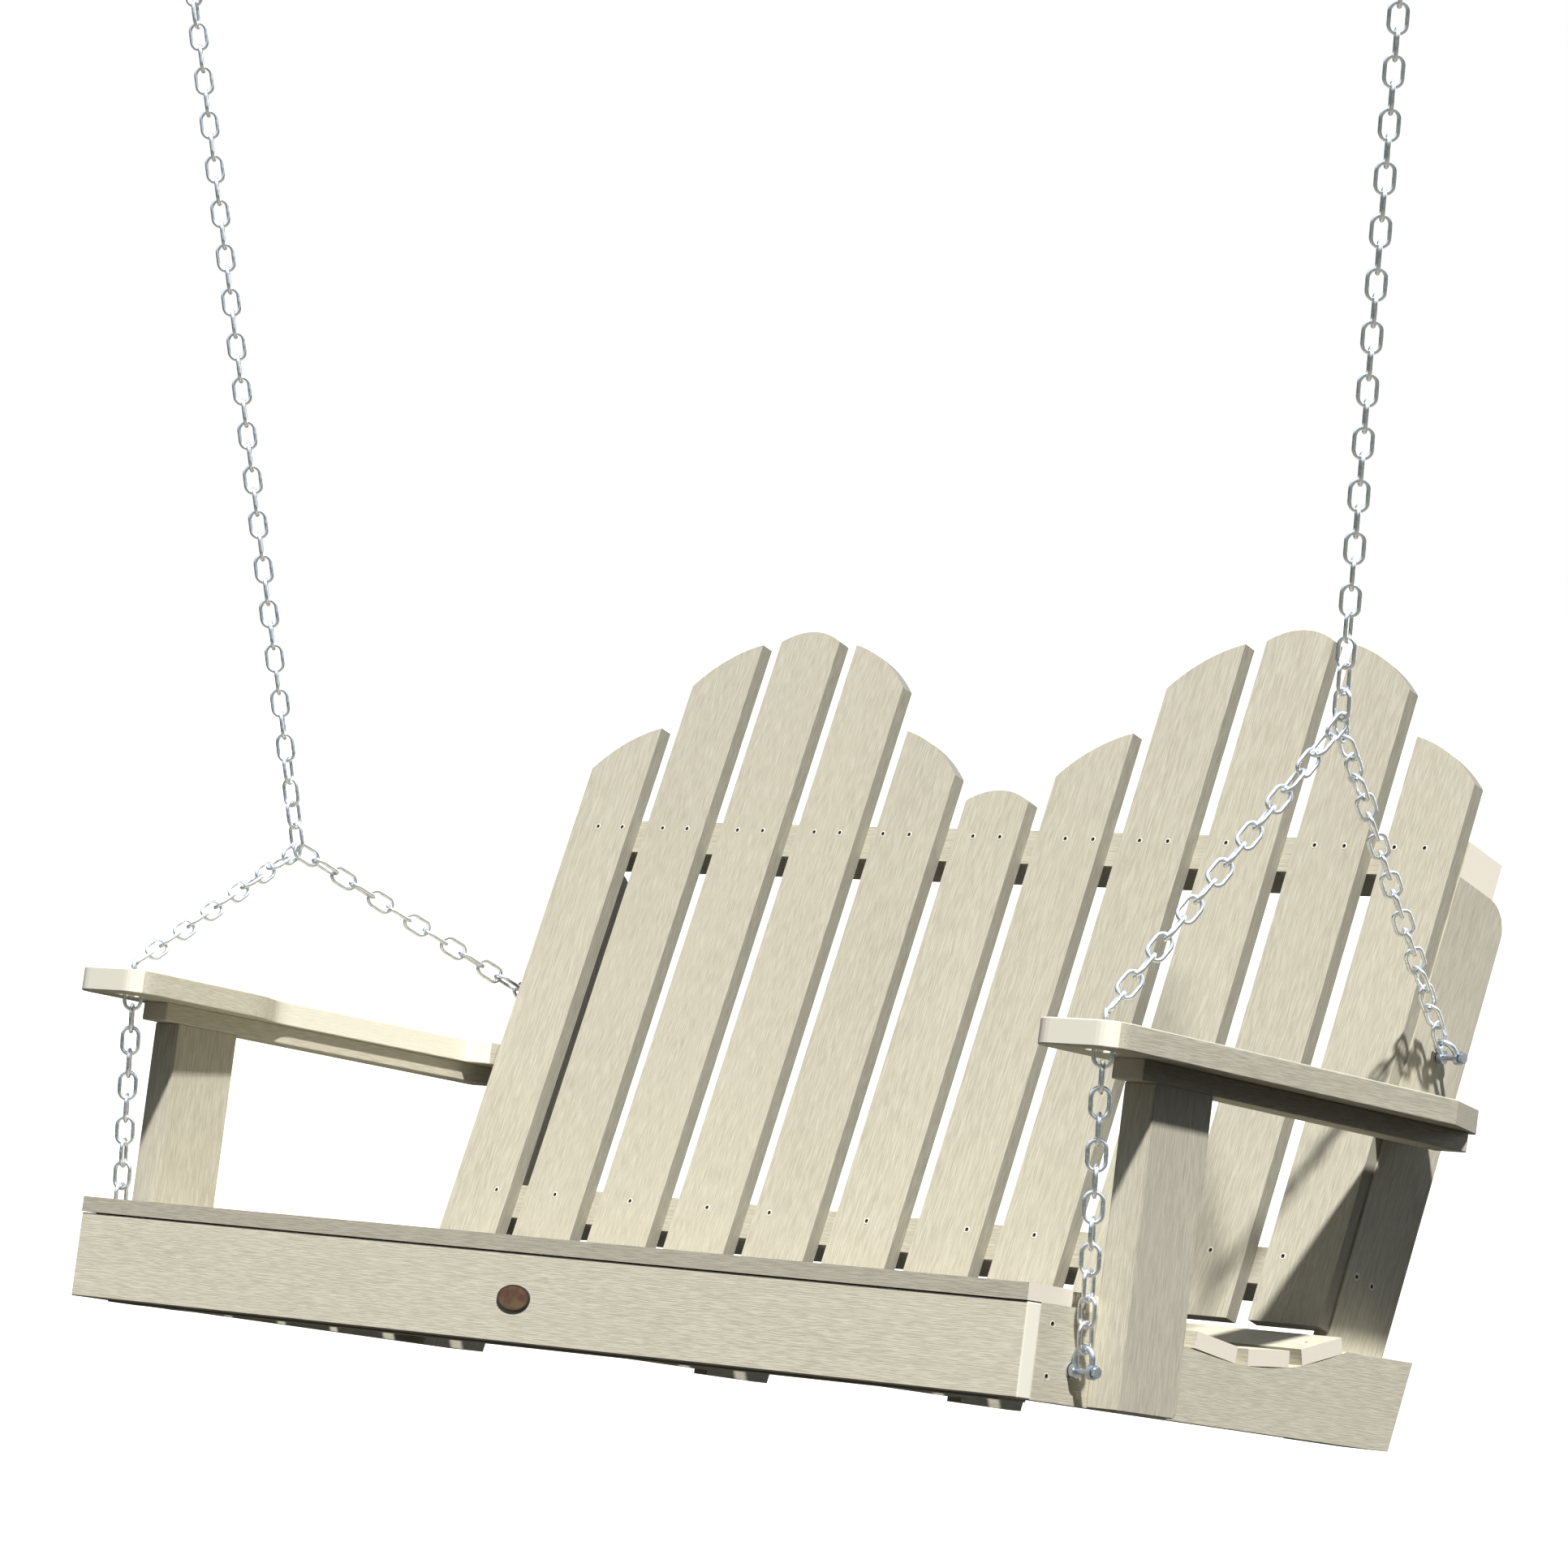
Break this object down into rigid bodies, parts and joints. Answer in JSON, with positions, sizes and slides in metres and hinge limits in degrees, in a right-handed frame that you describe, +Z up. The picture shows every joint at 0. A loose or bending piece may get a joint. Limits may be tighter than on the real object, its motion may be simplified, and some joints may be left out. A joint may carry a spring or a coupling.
{
  "type": "porch swing",
  "caption": "Slatted double-crown bench swing with flat armrests, hung on two chains that each split into a V to the armrest front and the back upright.",
  "frame": {"origin": "midway between the bearing points of the two ceiling hooks, on the line the swing turns about", "axes": "+X to the sitter's left, which is the right of the picture's view; +Y towards the back of the bench; +Z up"},
  "size_m": [1.7622, 0.8391, 1.6936],
  "materials": {
    "lumber": "weathered, embossed wood grain",
    "zinc": "bright zinc plated",
    "screws": "satin",
    "badge": "satin"
  },
  "bodies": {
    "hooks": {"ceiling_hook_left": "zinc", "ceiling_hook_right": "zinc"},
    "upper_chains": {"upper_chain_left": "zinc", "upper_chain_right": "zinc"},
    "bench": {"front_apron": "lumber", "front_rail": "lumber", "side_rail_left": "lumber", "side_rail_right": "lumber", "seat_support_left": "lumber", "seat_support_right": "lumber", "seat_slat_1": "lumber", "seat_slat_2": "lumber", "seat_slat_3": "lumber", "seat_slat_4": "lumber", "seat_slat_5": "lumber", "seat_slat_6": "lumber", "back_upright_left": "lumber", "back_upright_right": "lumber", "back_rail_lower": "lumber", "back_rail_upper": "lumber", "back_slat_1": "lumber", "back_slat_2": "lumber", "back_slat_3": "lumber", "back_slat_4": "lumber", "back_slat_5": "lumber", "back_slat_6": "lumber", "back_slat_7": "lumber", "back_slat_8": "lumber", "back_slat_9": "lumber", "back_slat_10": "lumber", "back_slat_11": "lumber", "arm_post_left": "lumber", "arm_post_right": "lumber", "arm_rail_left": "lumber", "arm_rail_right": "lumber", "armrest_left": "lumber", "armrest_right": "lumber", "back_screws": "screws", "seat_screws": "screws", "frame_screws": "screws", "badge": "badge", "anchor_bolts": "zinc", "anchor_washers": "zinc", "anchor_nuts": "zinc", "shackles": "zinc", "front_chain_left": "zinc", "front_chain_right": "zinc", "rear_chain_left": "zinc", "rear_chain_right": "zinc"}
  },
  "joints": [
    {"name": "swing", "type": "hinge", "parent": "hooks", "child": "upper_chains", "pos_m": [0, 0, 0], "axis": [1, 0, 0], "range_deg": [-25, 25]},
    {"name": "bench_tilt", "type": "hinge", "parent": "upper_chains", "child": "bench", "pos_m": [0.7345, 0, -0.88], "axis": [0.9945, 0, 0.1043], "range_deg": [-10, 10]}
  ]
}
